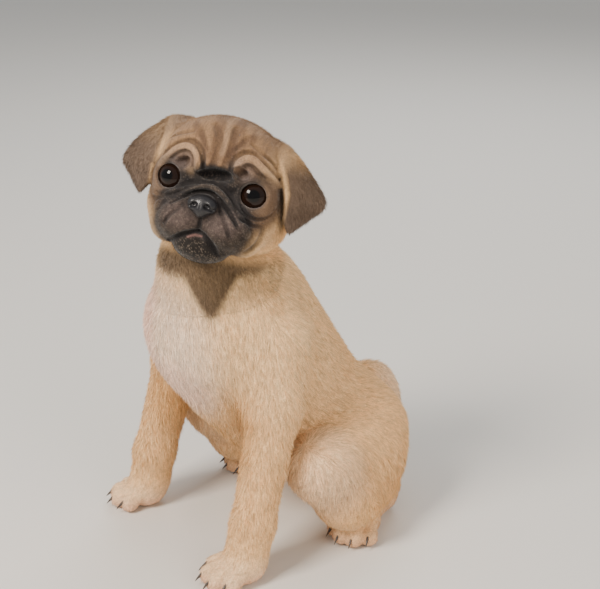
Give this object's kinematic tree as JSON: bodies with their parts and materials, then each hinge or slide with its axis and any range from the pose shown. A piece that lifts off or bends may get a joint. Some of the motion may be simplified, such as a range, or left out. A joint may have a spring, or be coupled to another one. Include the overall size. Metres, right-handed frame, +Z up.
{
  "type": "sitting pug puppy",
  "caption": "Life-size still model of a young pug sitting upright on its rump and four feet, head turned and tilted, ears folded, tail curled against the rump",
  "frame": {"origin": "middle of the footprint's bounding box, on the floor", "axes": "+Z up, the puppy's body faces -Y, its left side is +X"},
  "size_m": [0.1777, 0.2195, 0.2999],
  "materials": {
    "fawn_coat": "short fawn fur over skin, dark mask on the face",
    "ear_velvet": "short dark velvety fur",
    "nose_leather": "damp black nose leather",
    "eye": "wet dark brown eye",
    "claw": "dark horn claw"
  },
  "bodies": {
    "root": {"eye_left": "eye", "eye_right": "eye", "ear_left": "ear_velvet", "ear_right": "ear_velvet", "head": "fawn_coat", "nose": "nose_leather", "claw_fore_left_1": "claw", "claw_fore_left_2": "claw", "claw_fore_left_3": "claw", "claw_fore_left_4": "claw", "claw_fore_right_1": "claw", "claw_fore_right_2": "claw", "claw_fore_right_3": "claw", "claw_fore_right_4": "claw", "claw_hind_left_1": "claw", "claw_hind_left_2": "claw", "claw_hind_left_3": "claw", "claw_hind_left_4": "claw", "claw_hind_right_1": "claw", "claw_hind_right_2": "claw", "claw_hind_right_3": "claw", "claw_hind_right_4": "claw", "upper_arm_left": "fawn_coat", "forearm_left": "fawn_coat", "forepaw_left": "fawn_coat", "upper_arm_right": "fawn_coat", "forearm_right": "fawn_coat", "forepaw_right": "fawn_coat", "thigh_left": "fawn_coat", "hindpaw_left": "fawn_coat", "thigh_right": "fawn_coat", "hindpaw_right": "fawn_coat", "neck": "fawn_coat", "torso": "fawn_coat", "tail": "fawn_coat"}
  },
  "joints": []
}
